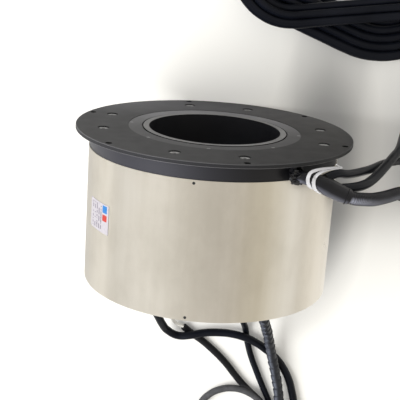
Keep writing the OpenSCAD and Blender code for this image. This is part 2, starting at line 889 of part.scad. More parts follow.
module loop_outline(ends, inset) {
    hull()
        for (end = ends)
            translate(end[0])
                circle(r = end[1] - inset, $fn = 48);
}

// Places a ring with its hole along the route at one of the route's points
module on_route(route, i) {
    way = route_way(route, i);
    translate(route[i])
        rotate([0, acos(way[2]), atan2(way[1], way[0])])
            children();
}

module cable_bundle() {
    color("#1b1b1f")
        swept(bundle_route, bundle_d, 12);
}

module cable_ties() {
    color("#f0f0f0")
        for (i = [1, 2])
            on_route(bundle_route, i)
                translate([0, 0, -tie_w / 2])
                    difference() {
                        cylinder(d = bundle_d + 2 * tie_t, h = tie_w, $fn = 32);
                        translate([0, 0, -1])
                            cylinder(d = bundle_d - 0.6, h = tie_w + 2, $fn = 32);
                    }
}

module conduit_collar() {
    color("#0c0c0e")
        on_route(conduit_route, 1)
            difference() {
                cylinder(d = conduit_d + 1.8, h = 1.8, $fn = 32);
                translate([0, 0, -1])
                    cylinder(d = conduit_d - 0.6, h = 5, $fn = 32);
            }
}

module stator_conduit() {
    color("#2a2a30")
        swept(conduit_route, conduit_d, 12);
}

module stator_cable_b() {
    color("#1c1c22")
        swept(stator_b_route, stator_b_d, 8);
}

module stator_cable_c() {
    color("#1c1c22")
        swept(stator_c_route, stator_c_d, 8);
}

module rotor_cable_a() {
    color("#1c1c22")
        swept(rotor_a_route, rotor_a_d, 8);
}

module rotor_leads() {
    color("#e8e6e0")
        swept(lead_route, lead_d, 8);
}

module rotor_cable_b() {
    color("#1c1c22")
        swept(rotor_b_route, rotor_b_d, 8);
}

module rotor_cable_c() {
    color("#1c1c22")
        swept(rotor_c_route, rotor_c_d, 8);
}

module rotor_cable_d() {
    color("#2a2a30")
        swept(rotor_d_route, rotor_d_d, 10);
}

module conduit_coil() {
    color("#2a2a30")
        coil(conduit_coil_at, conduit_coil_r, conduit_d, 1, 3);
}

module stator_coil_b() {
    color("#1c1c22")
        long_loop(stator_b_loop, stator_b_d, 3, floor_z + loop_layers * stator_c_d);
}

module stator_coil_c() {
    color("#1c1c22")
        long_loop(stator_c_loop, stator_c_d, 5, floor_z);
}

module rotor_coil_a() {
    color("#1c1c22")
        coil(rotor_a_coil_at, rotor_a_coil_r, rotor_a_d, 1, 2);
}

module rotor_coil_b() {
    color("#5c5c62")
        coil(rotor_b_coil_at, rotor_b_coil_r, rotor_b_d, 1, 2);
}

module rotor_coil_c() {
    color("#1c1c22")
        coil(rotor_c_coil_at, rotor_c_coil_r, rotor_c_d, 1, 2);
}

module rotor_coil_d() {
    color("#2a2a30")
        coil(rotor_d_coil_at, rotor_d_coil_r, rotor_d_d, 1, 2);
}

mounting_flange();
flange_screws();
bearing_cover();
cover_screws();
upper_end_cap();
housing_sleeve();
sleeve_screws();
lower_end_cap();
lower_bearing_cover();
lower_cover_screws();
rating_label();
upper_outer_race();
upper_inner_race();
upper_balls();
upper_cage();
lower_outer_race();
lower_inner_race();
lower_balls();
lower_cage();
upper_seal();
lower_seal();
cap_posts();
brush_bars();
power_brushes();
signal_brushes();
rotor_tube();
ring_spool();
power_rings();
signal_rings();
rotor_end_plate();
rotor_bushings();
cable_gland();
outlet_wrap();
cable_bundle();
cable_ties();
conduit_collar();
stator_conduit();
stator_cable_b();
stator_cable_c();
conduit_coil();
stator_coil_b();
stator_coil_c();
rotor_cable_a();
rotor_leads();
rotor_cable_b();
rotor_cable_c();
rotor_cable_d();
rotor_coil_a();
rotor_coil_b();
rotor_coil_c();
rotor_coil_d();
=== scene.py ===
"""Looks of a through-bore slip ring that lies on its side with its cables round it."""

import math

import bpy
import numpy as np
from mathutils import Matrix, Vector, noise


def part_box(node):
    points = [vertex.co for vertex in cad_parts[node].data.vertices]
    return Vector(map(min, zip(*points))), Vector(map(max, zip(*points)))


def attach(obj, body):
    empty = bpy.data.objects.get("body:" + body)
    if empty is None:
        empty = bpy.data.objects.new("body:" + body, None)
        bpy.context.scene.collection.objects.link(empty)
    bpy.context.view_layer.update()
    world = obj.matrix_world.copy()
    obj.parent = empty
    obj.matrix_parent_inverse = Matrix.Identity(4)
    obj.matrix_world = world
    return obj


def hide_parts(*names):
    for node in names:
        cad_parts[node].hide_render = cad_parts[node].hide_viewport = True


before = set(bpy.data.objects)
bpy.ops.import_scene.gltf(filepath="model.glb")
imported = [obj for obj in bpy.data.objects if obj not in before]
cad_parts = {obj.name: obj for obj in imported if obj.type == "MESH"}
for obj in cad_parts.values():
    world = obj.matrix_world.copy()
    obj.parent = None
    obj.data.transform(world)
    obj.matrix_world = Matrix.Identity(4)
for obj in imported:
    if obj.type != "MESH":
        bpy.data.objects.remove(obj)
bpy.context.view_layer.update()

MM = 0.001
FLOOR_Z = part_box("mounting_flange")[0][2]

CAMERA_AT = (0.0, 0.2309, 1.025)
CAMERA_TURN = (-16.62, 1.69, 3.80)  # degrees
FOCAL_LENGTH = 93.1
TO_CAMERA = Vector((0.0, 0.28, 0.96))

# Cable diameters and the sizes of small details, in metres
THICK, MEDIUM, THIN = 0.0095, 0.0085, 0.0075
CONDUIT_D = 0.013
WRAPPED_D = 0.0125

CONDUIT_RIB_PITCH, CONDUIT_RIB = 0.0017, 0.0003
TAPE_LAP, TAPE_STEP = 0.0095, 0.0012
LEADS_TWIST = 0.007  # length over which a lead moves on by one radian
KNOT_RADIUS = 0.0078
STRAP_WIDTH, STRAP_T = 0.0044, 0.0010
TIE_T, TIE_CLEARANCE = 0.0009, 0.0002
SCREW_SINK = 0.0011

# Middles of the coils of spare cable on the floor, in metres
CONDUIT_COIL = (0.290, -0.045)
ROTOR_A_COIL = (0.247, -0.430)
ROTOR_B_COIL = (0.046, -0.399)
ROTOR_C_COIL = (0.150, -0.445)
ROTOR_D_COIL = (-0.062, -0.457)


# ---------------------------------------------------------------- camera

def add_camera():
    """The camera over the part, with a long lens."""
    data = bpy.data.cameras.new("camera")
    data.lens = FOCAL_LENGTH
    data.sensor_width = 36.0
    data.clip_end = 20.0
    camera = bpy.data.objects.new("camera", data)
    camera.location = CAMERA_AT
    camera.rotation_euler = [math.radians(a) for a in CAMERA_TURN]
    bpy.context.collection.objects.link(camera)
    bpy.context.scene.camera = camera


# ---------------------------------------------------------------- materials

def set_stops(ramp, stops):
    """Gives a colour ramp its (place, colour) stops."""
    while len(ramp.elements) < len(stops):
        ramp.elements.new(0.5)
    for element, (at, color) in zip(ramp.elements, stops):
        element.position = at
        element.color = (*color, 1.0)


class Nodes:
    """A material's node tree with short calls for the few nodes used here."""

    def __init__(self, name=None, material=None):
        self.material = material or bpy.data.materials.new(name)
        self.material.use_nodes = True
        self.tree = self.material.node_tree
        self.shader = self.tree.nodes["Principled BSDF"]
        self.place = self.tree.nodes.new("ShaderNodeTexCoord").outputs["Object"]

    def add(self, kind, **settings):
        node = self.tree.nodes.new(kind)
        for key, value in settings.items():
            setattr(node, key, value)
        return node

    def link(self, output, socket):
        self.tree.links.new(output, socket)

    def stretched(self, scale):
        node = self.add("ShaderNodeMapping")
        node.inputs["Scale"].default_value = scale
        self.link(self.place, node.inputs["Vector"])
        return node.outputs["Vector"]

    def noise(self, scale, detail=3.0, stretch=(1, 1, 1), roughness=0.5):
        node = self.add("ShaderNodeTexNoise")
        node.inputs["Scale"].default_value = scale
        node.inputs["Detail"].default_value = detail
        node.inputs["Roughness"].default_value = roughness
        self.link(self.stretched(stretch), node.inputs["Vector"])
        return node.outputs["Fac"]

    def ramp(self, factor, stops):
        node = self.add("ShaderNodeValToRGB")
        set_stops(node.color_ramp, stops)
        self.link(factor, node.inputs["Fac"])
        return node.outputs["Color"]

    def span(self, factor, low, high):
        node = self.add("ShaderNodeMapRange")
        node.inputs["To Min"].default_value = low
        node.inputs["To Max"].default_value = high
        self.link(factor, node.inputs["Value"])
        return node.outputs["Result"]

    def mixed(self, factor, first, second, blend="MIX"):
        node = self.add("ShaderNodeMix", data_type="RGBA", blend_type=blend)
        for socket, value in (("Factor", factor), ("A", first), ("B", second)):
            target = next(s for s in node.inputs if s.name == socket and s.enabled)
            if isinstance(value, bpy.types.NodeSocket):
                self.link(value, target)
            elif socket == "Factor":
                target.default_value = value
            else:
                target.default_value = (*value, 1.0)
        return next(s for s in node.outputs if s.enabled)

    def axis(self, vector, name):
        node = self.add("ShaderNodeSeparateXYZ")
        self.link(vector, node.inputs[0])
        return node.outputs[name]

    def math(self, operation, first, second=0.0):
        node = self.add("ShaderNodeMath", operation=operation)
        for socket, value in zip(node.inputs, (first, second)):
            if isinstance(value, bpy.types.NodeSocket):
                self.link(value, socket)
            else:
                socket.default_value = value
        return node.outputs[0]

    def both(self, first, second):
        """The product of two factors."""
        return self.math("MULTIPLY", first, second)

    def between(self, value, low, high):
        """1 where the value lies between two limits, 0 elsewhere."""
        return self.both(self.math("GREATER_THAN", value, low), self.math("LESS_THAN", value, high))

    def apart(self, point, stretch):
        """Distance from a point, with each axis stretched."""
        node = self.add("ShaderNodeVectorMath", operation="DISTANCE")
        self.link(self.stretched(stretch), node.inputs[0])
        node.inputs[1].default_value = point
        return node.outputs["Value"]

    def radius(self):
        """Distance from the part's Y axis."""
        node = self.add("ShaderNodeVectorMath", operation="LENGTH")
        self.link(self.stretched((1, 0, 1)), node.inputs[0])
        return node.outputs["Value"]

    def facing(self):
        """How far the surface faces along the part's Y axis, either way."""
        normal = self.add("ShaderNodeTexCoord").outputs["Normal"]
        return self.math("ABSOLUTE", self.axis(normal, "Y"))

    def bump(self, height, strength, distance):
        node = self.add("ShaderNodeBump")
        node.inputs["Strength"].default_value = strength
        node.inputs["Distance"].default_value = distance
        self.link(height, node.inputs["Height"])
        self.link(node.outputs["Normal"], self.shader.inputs["Normal"])

    def color(self, output):
        self.link(output, self.shader.inputs["Base Color"])

    def set(self, **values):
        for key, value in values.items():
            self.shader.inputs[key.replace("_", " ")].default_value = value


def worn_surface(name, dark, light, roughness, metallic=0.0, grain=400.0, bump=0.05, spread=0.08,
                 gloss=0.5):
    """A surface whose colour, gloss and fine relief vary a little."""
    n = Nodes(name)
    n.set(Metallic=metallic, Specular_IOR_Level=gloss)
    n.color(n.ramp(n.noise(14.0), [(0.3, dark), (0.7, light)]))
    n.link(n.span(n.noise(40.0), roughness - spread, roughness + spread), n.shader.inputs["Roughness"])
    n.bump(n.noise(grain, detail=2.0), bump, 0.0004)
    return n.material


def cable_skin(name, dark, light, toward, highlight_tint, roughness, gloss, narrow=0.25, grain=900.0, bump=0.05):
    """A black jacket with a painted highlight: the side that faces one way is tinted a bluish grey."""
    n = Nodes(name)
    n.set(Specular_IOR_Level=gloss)
    faces = n.add("ShaderNodeVectorMath", operation="DOT_PRODUCT")
    n.link(n.add("ShaderNodeTexCoord").outputs["Normal"], faces.inputs[0])
    faces.inputs[1].default_value = Vector(toward).normalized()
    near = n.math("DIVIDE", n.math("SUBTRACT", faces.outputs["Value"], 1.0 - narrow), narrow)
    # Painted highlight: where the surface faces the given way, the colour turns to the bluish-grey tint,
    # broken up by noise.
    painted_highlight = n.both(n.math("MAXIMUM", near, 0.0), n.span(n.noise(70.0, detail=5.0), 0.55, 1.15))
    black = n.ramp(n.noise(30.0), [(0.3, dark), (0.7, light)])
    n.color(n.mixed(painted_highlight, black, highlight_tint))
    n.link(n.span(n.noise(60.0), roughness - 0.06, roughness + 0.06), n.shader.inputs["Roughness"])
    n.bump(n.noise(grain, detail=2.0), bump, 0.0003)
    return n.material


def paint_light_along(material, axis, near, far):
    """Paints light and shade into a material: its colour is made paler or darker along an axis; near and
    far are (place, strength).
    """
    n = Nodes(material=material)
    color = n.shader.inputs["Base Color"].links[0].from_socket
    span = n.add("ShaderNodeMapRange", interpolation_type="SMOOTHSTEP")
    for value, (place, strength) in (("Min", near), ("Max", far)):
        span.inputs["From " + value].default_value = place
        span.inputs["To " + value].default_value = strength
    n.link(n.axis(n.place, axis), span.inputs["Value"])
    scale = n.add("ShaderNodeVectorMath", operation="SCALE")
    n.link(color, scale.inputs[0])
    n.link(span.outputs["Result"], scale.inputs["Scale"])
    n.color(scale.outputs["Vector"])


def edge_highlight_metal(name, dark, light, roughness, bevel_highlight, side, outside):
    """Black-finished metal: its bevels carry a painted highlight and its holes are dark inside."""
    n = Nodes(name)
    n.set(Metallic=0.2, Specular_IOR_Level=0.35)
    base = n.ramp(n.noise(9.0, detail=5.0), [(0.3, dark), (0.7, light)])
    facing, radius = n.facing(), n.radius()
    inner, outer = n.math("LESS_THAN", radius, outside), n.math("GREATER_THAN", radius, outside)
    hole = n.both(n.math("LESS_THAN", facing, 0.9), inner)
    # Painted highlight: the bevel faces outside the given radius take the bright bevel colour, in patches.
    bevel = n.both(n.between(facing, 0.3, 0.95), outer)
    highlit = n.mixed(n.both(bevel, n.span(n.noise(30.0), 0.5, 1.0)), base, bevel_highlight)
    rim = n.both(n.math("LESS_THAN", facing, 0.3), outer)
    highlit = n.mixed(n.both(rim, n.span(n.noise(25.0), 0.75, 1.0)), highlit, side)
    n.color(n.mixed(hole, highlit, (0.006, 0.006, 0.007)))
    n.link(n.span(n.noise(60.0), roughness - 0.06, roughness + 0.06), n.shader.inputs["Roughness"])
    n.bump(n.noise(700.0, detail=2.0), 0.04, 0.0003)
    return n.material


def bore_metal():
    """The rotor tube: its end face is bare grey, its bore is black."""
    n = Nodes("bore_metal")
    n.set(Metallic=0.1, Specular_IOR_Level=0.3)
    face = n.ramp(n.noise(20.0), [(0.3, (0.16, 0.16, 0.165)), (0.7, (0.23, 0.23, 0.235))])
    bore = n.ramp(n.noise(12.0), [(0.3, (0.003, 0.003, 0.005)), (0.7, (0.007, 0.007, 0.009))])
    end = n.math("GREATER_THAN", n.facing(), 0.5)
    n.color(n.mixed(end, bore, face))
    n.link(n.span(n.noise(50.0), 0.45, 0.6), n.shader.inputs["Roughness"])
    n.bump(n.noise(500.0, detail=2.0), 0.04, 0.0003)
    return n.material


def brushed_sleeve():
    """Rolled stainless sheet: streaks along the axis, faint smudges and warm discoloration."""
    n = Nodes("brushed_sleeve")
    n.set(Metallic=0.88)
    smudge = n.ramp(n.noise(11.0, detail=6.0, stretch=(1.0, 0.6, 1.0), roughness=0.62),
                    [(0.34, (0.60, 0.56, 0.485)), (0.52, (0.685, 0.643, 0.565)),
                     (0.72, (0.72, 0.682, 0.61))])
    streak = n.ramp(n.noise(90.0, detail=4.0, stretch=(1.0, 0.05, 1.0)),
                    [(0.35, (0.955, 0.95, 0.94)), (0.65, (1.0, 1.0, 1.0))])
    n.color(n.mixed(1.0, smudge, streak, "MULTIPLY"))
    n.link(n.span(n.noise(26.0, detail=5.0), 0.24, 0.36), n.shader.inputs["Roughness"])
    n.bump(n.noise(240.0, detail=3.0, stretch=(1.0, 0.08, 1.0)), 0.05, 0.0002)
    return n.material


def printed_label():
    """A plain label: two fields of colour and rows of short strokes, no lettering."""
    n = Nodes("printed_label")
    place = n.add("ShaderNodeTexCoord").outputs["Generated"]
    across, down = n.axis(place, "X"), n.axis(place, "Y")
    paper = n.ramp(n.noise(300.0), [(0.3, (0.325, 0.305, 0.335)), (0.7, (0.37, 0.352, 0.376))])
    row = n.math("LESS_THAN", n.math("FRACT", n.math("MULTIPLY", across, 9.0)), 0.45)
    rows = n.both(row, n.between(across, 0.10, 0.62))
    stroke = n.math("GREATER_THAN", n.noise(420.0, detail=1.0, stretch=(0.3, 1.0, 0.3)), 0.47)
    ink = n.both(n.both(rows, stroke), n.between(down, 0.08, 0.93))
    printed = n.mixed(n.both(ink, 0.9), paper, (0.10, 0.085, 0.12))
    head = n.between(across, 0.66, 0.90)
    blue = n.both(head, n.between(down, 0.70, 0.95))
    red = n.both(head, n.between(down, 0.42, 0.64))
    printed = n.mixed(blue, printed, (0.003, 0.125, 0.36))
    printed = n.mixed(red, printed, (0.36, 0.018, 0.010))
    n.color(printed)
    n.link(n.span(n.noise(60.0), 0.32, 0.42), n.shader.inputs["Roughness"])
    return n.material


def painted_sheen_cable():
    """Black jacket that turns grey where the coil begins: a painted sheen."""
    n = Nodes("painted_sheen_cable")
    n.set(Specular_IOR_Level=0.2)
    # Painted sheen: the jacket turns grey within about 50 mm of the second coil's middle.
    apart = n.apart((*ROTOR_B_COIL, 0.0), (1, 1, 0))
    reach = n.both(n.math("SUBTRACT", 0.0515, apart), 400.0)
    part = n.math("MINIMUM", n.math("MAXIMUM", reach, 0.0), 1.0)
    black = n.ramp(n.noise(30.0), [(0.3, (0.004, 0.004, 0.005)), (0.7, (0.008, 0.008, 0.010))])
    grey = n.ramp(n.noise(160.0, detail=6.0, roughness=0.7),
                  [(0.3, (0.039, 0.040, 0.043)), (0.7, (0.078, 0.078, 0.083))])
    n.color(n.mixed(part, black, grey))
    n.link(n.span(n.noise(60.0), 0.4, 0.52), n.shader.inputs["Roughness"])
    n.bump(n.noise(500.0, detail=2.0), 0.06, 0.0003)
    return n.material


MATERIALS = {
    # Each: dark, light, roughness, the painted highlight on the bevels, the outer side's colour, and the
    # radius inside which holes are dark.
    "flange_metal": edge_highlight_metal("flange_metal", (0.017, 0.017, 0.019), (0.025, 0.025, 0.028), 0.50,
                               (0.15, 0.15, 0.16), (0.020, 0.020, 0.023), 0.1385),
    "cap_metal": edge_highlight_metal("cap_metal", (0.050, 0.050, 0.056), (0.066, 0.066, 0.074), 0.38,
                            (0.07, 0.07, 0.08), (0.033, 0.033, 0.041), 0.110),
    "grey_metal": worn_surface("grey_metal", (0.034, 0.034, 0.037), (0.047, 0.047, 0.051), 0.46, 0.2),
    "bore_metal": bore_metal(),
    "steel": worn_surface("steel", (0.6, 0.6, 0.6), (0.8, 0.8, 0.8), 0.3, 0.9),
    "screw_head": worn_surface("screw_head", (0.34, 0.34, 0.345), (0.46, 0.46, 0.465), 0.5, 0.3),
    "dull_steel": worn_surface("dull_steel", (0.20, 0.20, 0.205), (0.30, 0.30, 0.305), 0.5, 0.5),
    "stainless": brushed_sleeve(),
    "dark_steel": worn_surface("dark_steel", (0.02, 0.02, 0.02), (0.04, 0.04, 0.04), 0.5, 0.5),
    "brass": worn_surface("brass", (0.5, 0.36, 0.13), (0.62, 0.46, 0.2), 0.35, 0.9),
    "resin": worn_surface("resin", (0.5, 0.45, 0.32), (0.6, 0.55, 0.42), 0.5),
    "laminate": worn_surface("laminate", (0.12, 0.03, 0.015), (0.17, 0.05, 0.025), 0.5),
    "carbon": worn_surface("carbon", (0.03, 0.03, 0.03), (0.05, 0.05, 0.05), 0.6),
    "rubber": worn_surface("rubber", (0.006, 0.006, 0.007), (0.012, 0.012, 0.014), 0.5),
    "label": printed_label(),
    # Cable, conduit, wrap and sleeve_tube carry a painted highlight: the side facing the given way takes
    # the given bluish grey.
    "cable": cable_skin("cable", (0.003, 0.0036, 0.006), (0.006, 0.007, 0.011), (-0.6, -0.55, 0.6),
                        (0.004, 0.005, 0.009), 0.38, 0.12, 0.30),
    "painted_sheen_cable": painted_sheen_cable(),
    "conduit": cable_skin("conduit", (0.005, 0.005, 0.008), (0.010, 0.010, 0.014), (0.05, -0.18, 0.98),
                          (0.26, 0.27, 0.325), 0.30, 0.3, 0.22),
    "wrap": cable_skin("wrap", (0.006, 0.007, 0.010), (0.014, 0.015, 0.020), (-0.62, -0.35, 0.70),
                       (0.070, 0.077, 0.100), 0.34, 0.35, 0.30, grain=220.0, bump=0.2),
    "sleeve_tube": cable_skin("sleeve_tube", (0.005, 0.005, 0.007), (0.010, 0.010, 0.013),
                              (-0.30, -0.66, 0.69), (0.090, 0.093, 0.115), 0.34, 0.25, 0.22),
    "tape": worn_surface("tape", (0.003, 0.003, 0.004), (0.007, 0.007, 0.009), 0.4, gloss=0.25),
    "knot_tape": worn_surface("knot_tape", (0.003, 0.003, 0.004), (0.007, 0.007, 0.009), 0.16, gloss=0.5),
    "white_lead": worn_surface("white_lead", (0.66, 0.64, 0.58), (0.80, 0.79, 0.74), 0.45),
    "white_tie": worn_surface("white_tie", (0.48, 0.48, 0.50), (0.64, 0.64, 0.66), 0.42, grain=1500.0,
                              bump=0.2),
}

# Painted light and shade: the flange face is lightened up to 3.8 times toward the floor and darkened
# toward the right, the bearing cover is lightened toward the floor, and the cap band is darkened toward
# the right.
paint_light_along(MATERIALS["flange_metal"], "Z", (-0.125, 3.8), (-0.02, 1.0))
paint_light_along(MATERIALS["flange_metal"], "X", (-0.02, 1.0), (0.12, 0.35))
paint_light_along(MATERIALS["grey_metal"], "Z", (-0.09, 4.5), (0.03, 1.15))
paint_light_along(MATERIALS["cap_metal"], "X", (-0.05, 1.0), (0.045, 0.25))

NODE_MATERIALS = {
    "flange_metal": ["mounting_flange"],
    "cap_metal": ["upper_end_cap", "lower_end_cap", "rotor_end_plate"],
    "grey_metal": ["bearing_cover", "lower_bearing_cover"],
    "bore_metal": ["rotor_tube"],
    "dull_steel": ["flange_screws", "cover_screws", "lower_cover_screws"],
    "steel": ["upper_outer_race", "upper_inner_race", "upper_balls", "lower_outer_race",
              "lower_inner_race", "lower_balls", "cap_posts"],
    "stainless": ["housing_sleeve"],
    "dark_steel": ["sleeve_screws"],
    "brass": ["upper_cage", "lower_cage", "power_rings", "signal_rings", "signal_brushes"],
    "resin": ["ring_spool"],
    "laminate": ["brush_bars"],
    "carbon": ["power_brushes"],
    "rubber": ["upper_seal", "lower_seal", "rotor_bushings", "cable_gland", "conduit_collar"],
    "label": ["rating_label"],
}


def dress_nodes():
    """Gives the CAD nodes that stay in view their materials."""
    for look, names in NODE_MATERIALS.items():
        for name in names:
            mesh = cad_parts[name].data
            mesh.materials.clear()
            mesh.materials.append(MATERIALS[look])


# ---------------------------------------------------------------- shapes

def smooth_route(points, step):
    """Points spaced evenly on a smooth curve through the given ones."""
    p = [Vector(q) for q in points]
    p = [p[0] * 2 - p[1]] + p + [p[-1] * 2 - p[-2]]
    dense = []
    for a, b, c, d in zip(p, p[1:], p[2:], p[3:]):
        for i in range(12):
            t = i / 12.0
            dense.append(0.5 * (2 * b + (c - a) * t + (2 * a - 5 * b + 4 * c - d) * t * t
                                + (3 * b - a - 3 * c + d) * t * t * t))
    dense.append(p[-2])
    line = np.array([list(q) for q in dense])
    at = distances(line)
    count = max(2, int(round(at[-1] / step)) + 1)
    wanted = np.linspace(0.0, at[-1], count)
    return np.stack([np.interp(wanted, at, line[:, k]) for k in range(3)], axis=1), wanted


def distances(line):
    """How far along a line each of its points lies."""
    return np.concatenate([[0.0], np.cumsum(np.linalg.norm(np.diff(line, axis=0), axis=1))])


def mesh_piece(name, verts, faces, material=None, smooth=False):
    """A new object from lists of points and faces."""
    mesh = bpy.data.meshes.new(name)
    mesh.from_pydata([tuple(v) for v in verts], [], faces)
    if smooth:
        mesh.shade_smooth()
    if material:
        mesh.materials.append(material)
    piece = bpy.data.objects.new(name, mesh)
    bpy.context.collection.objects.link(piece)
    return piece


def swept_mesh(name, points, step, sides, radius):
    """A tube along a route; radius(length along it, angle round it) gives its surface."""
    line, along = smooth_route(points, step)
    way = np.gradient(line, axis=0)
    way /= np.linalg.norm(way, axis=1)[:, None]
    across = np.cross(way, [0.0, 0.0, 1.0])
    across /= np.linalg.norm(across, axis=1)[:, None]
    up = np.cross(across, way)
    verts = []
    for k in range(len(line)):
        for s in range(sides):
            angle = 2 * math.pi * s / sides
            r = radius(along[k], angle)
            verts.append(line[k] + r * (math.cos(angle) * across[k] + math.sin(angle) * up[k]))
    faces = []
    for k in range(len(line) - 1):
        for s in range(sides):
            a, b = k * sides + s, k * sides + (s + 1) % sides
            faces.append((a, b, b + sides, a + sides))
    faces.append(tuple(range(sides))[::-1])
    faces.append(tuple(range((len(line) - 1) * sides, len(line) * sides)))
    return mesh_piece(name, verts, faces, smooth=True), [tuple(q) for q in line]


def curve_tube(name, points, diameter):
    """One open smooth curve with a round section."""
    data = bpy.data.curves.new(name, "CURVE")
    data.dimensions = "3D"
    data.bevel_depth = diameter / 2
    data.bevel_resolution = 5
    data.resolution_u = 6
    data.use_fill_caps = True
    spline = data.splines.new("BEZIER")
    spline.bezier_points.add(len(points) - 1)
    for point, at in zip(spline.bezier_points, points):
        point.co = at
        point.handle_left_type = "AUTO"
        point.handle_right_type = "AUTO"
    piece = bpy.data.objects.new(name, data)
    bpy.context.collection.objects.link(piece)
    return piece


def in_metres(route):
    """A route given in millimetres."""
    return [(x * MM, y * MM, z * MM) for x, y, z in route]


def coil_turns(middle, diameter, start, turn, rows, last=1.0):
    """Points of a neat coil on the floor: rows of (layer, radius), a turn each but for the last."""
    points = []
    steps = 16
    for i, (layer, radius) in enumerate(rows):
        after = rows[i + 1] if i + 1 < len(rows) else (layer, radius)
        for k in range(steps if i < len(rows) - 1 else int(steps * last)):
            part = k / steps
            ease = max(0.0, (part - 0.7) / 0.3)
            r = radius + (after[1] - radius) * ease
            z = FLOOR_Z + diameter * (0.5 + layer + (after[0] - layer) * ease)
            angle = math.radians(start) + turn * 2 * math.pi * part
            points.append((middle[0] + r * math.cos(angle), middle[1] + r * math.sin(angle), z))
    return points


# ---------------------------------------------------------------- cables

# Routes of the sleeve, the conduit, the cables, the white leads and the ties, in millimetres
BUNDLE_ROUTE = [(81, -14.8, 109), (85, -15, 111.5), (96, -18, 110), (109.0, -24.0, 106),
                (119.0, -29.0, 103), (128.5, -33.0, 101)]
CONDUIT_ROUTE = [(128.5, -33.0, 101), (133.5, -34.5, 100), (143.0, -36.0, 95), (154.5, -38.5, 84),
                 (169.5, -41.5, 62), (189.0, -46.0, 28), (202, -64, -28), (209, -72, -62), (220, -84, -92),
                 (236, -100, -116), (260, -112, -130), (290, -110, -133.5)]
STATOR_B_ROUTE = [(105, -17, 100), (116, -14.5, 91), (125, -16.5, 82), (134, -18.5, 70), (144, -20, 55),
                  (155, -22, 36), (166.5, -24, 12), (179, -26.5, -14), (192.5, -32, -44),
                  (202.5, -36, -66), (212, -40, -80), (224, -40, -89.5), (236, -33, -95.5),
                  (244, -20, -96.2), (247, -4, -96.2), (247, 14, -96.4), (244, 34, -101), (240, 58, -108),
                  (238, 82, -113), (239, 104, -116), (243, 126, -116.75), (248, 145, -116.75),
                  (252.4, 164.7, -116.75)]
STATOR_C_ROUTE = [(120, -26.5, 98), (128, -27, 92), (137.5, -27.5, 84), (147, -27.5, 72), (156.5, -26, 56),
                  (167, -22, 36), (178, -18, 12), (188, -15, -12), (193, -13, -24), (199, -9, -48),
                  (205, -3, -72), (211, 6, -96), (216, 18, -115), (219, 34, -128), (223, 53, -134),
                  (230, 74, -135.25), (242, 97, -135.25), (258.3, 120.7, -135.25)]
ROTOR_A_ROUTE = [(-60, -169.9, -60), (-61, -190, -62), (-60, -212, -70), (-56, -234, -85),
                 (-50, -254, -101), (-45, -270, -116), (-40, -280, -125), (-34, -286, -129.5),
                 (-26, -288.5, -129.5), (-14, -286, -126.2), (3, -281.5, -126.4), (20, -279.7, -127),
                 (36, -280, -127.4), (52, -283, -127.4), (60, -286, -128), (69, -291.5, -131.5),
                 (81, -300.5, -135), (99, -316, -135.25), (111.5, -336, -135.25), (117.5, -352, -135.25),
                 (121.5, -366.5, -135.25), (127, -379, -135.25), (137, -389, -135.25),
                 (151, -395, -135.25), (170, -396.5, -135.25), (195, -393, -135.25), (221, -386, -135.25),
                 (247, -382, -135.25)]
LEAD_ROUTE = [(-22, -169.9, -82), (-26, -194, -90), (-32, -221, -110), (-37, -246, -127),
              (-37, -263, -133), (-31, -273, -133.5), (-20.5, -278, -133.5)]
ROTOR_B_ROUTE = [(-20.5, -278, -133.5), (-15, -283.5, -135.2), (-6, -289.5, -135.75),
                 (4.5, -296.5, -135.75), (16, -306, -135.75), (28, -317, -135.75), (39.5, -329.5, -135.75),
                 (50, -342.5, -135.75), (61, -354, -135.75), (76.4, -368.6, -135.75)]
ROTOR_C_ROUTE = [(22, -169.9, -82), (26, -190, -85), (34, -214, -93), (43, -237, -104),
                 (49.5, -257, -118.5), (52.5, -268, -130), (55, -277, -135.6), (57.5, -289, -136.25),
                 (62.5, -307, -136.25), (69, -323, -136.25), (76, -339, -136.25), (83, -354, -136.25),
                 (90.5, -369.5, -136.25), (97, -384, -136.25), (102, -399, -136.25), (107, -418, -136.25),
                 (112, -445, -136.25)]
ROTOR_D_ROUTE = [(60, -169.9, -60), (62, -192, -64), (67, -216, -75), (73, -243, -92), (80, -268, -111),
                 (85.5, -291, -122), (90, -308, -124.2), (94.5, -325, -125), (99, -343, -125.8),
                 (102.5, -363, -125.6), (103.5, -385, -125.6), (102, -405, -126), (98, -426, -129.8),
                 (91, -444, -133), (76, -462, -133.75), (50, -479, -133.75), (14, -494, -133.75),
                 (-24, -513.5, -133.75), (-62, -520, -133.75)]
TIE_ONE = [(95.5, -24.0, 97), (93.0, -24.0, 107), (89.0, -19.5, 113), (87.5, -15.0, 117),
           (88.0, -11.0, 118), (90.0, -8.0, 117), (95.5, -6.0, 115), (102.5, -5.0, 112),
           (111.5, -4.5, 108), (119.0, -5.0, 103)]
TIE_TWO = [(103.0, -28.0, 95), (100.0, -27.5, 105), (95.0, -23.0, 110), (93.0, -17.5, 114),
           (93.5, -13.5, 115.5), (96.5, -10.0, 115), (102.0, -7.0, 113), (107.5, -6.0, 110),
           (113.5, -5.5, 107), (119.0, -5.5, 103)]
TIE_TAIL = [(119.0, -5.0, 103), (116.0, -3.5, 106), (112.5, -1.0, 110)]

KNOT_AT = (78.5, -15.0, 109)

# The two long loops: (middle, outer radius) of each end, in metres
STATOR_C_LOOP = [((0.084, 0.176), 0.082), ((0.172, 0.161), 0.100)]
STATOR_B_LOOP = [((0.072, 0.160), 0.068), ((0.190, 0.178), 0.068)]


def cut_end(name, points, diameter, body, colour):
    """The stripped end of a cable: a short crimp cap over its last few millimetres."""
    last = Vector(points[-1])
    way = (last - Vector(points[-2])).normalized()
    tip = [tuple(last - way * 0.006), tuple(last), tuple(last + way * 0.004)]
    cap, _ = swept_mesh(name, tip, 0.001, 20, lambda s, a: diameter * 0.54 - 0.25 * max(0.0, s - 0.009))
    cap.data.materials.append(colour)
    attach(cap, body)
    return cap


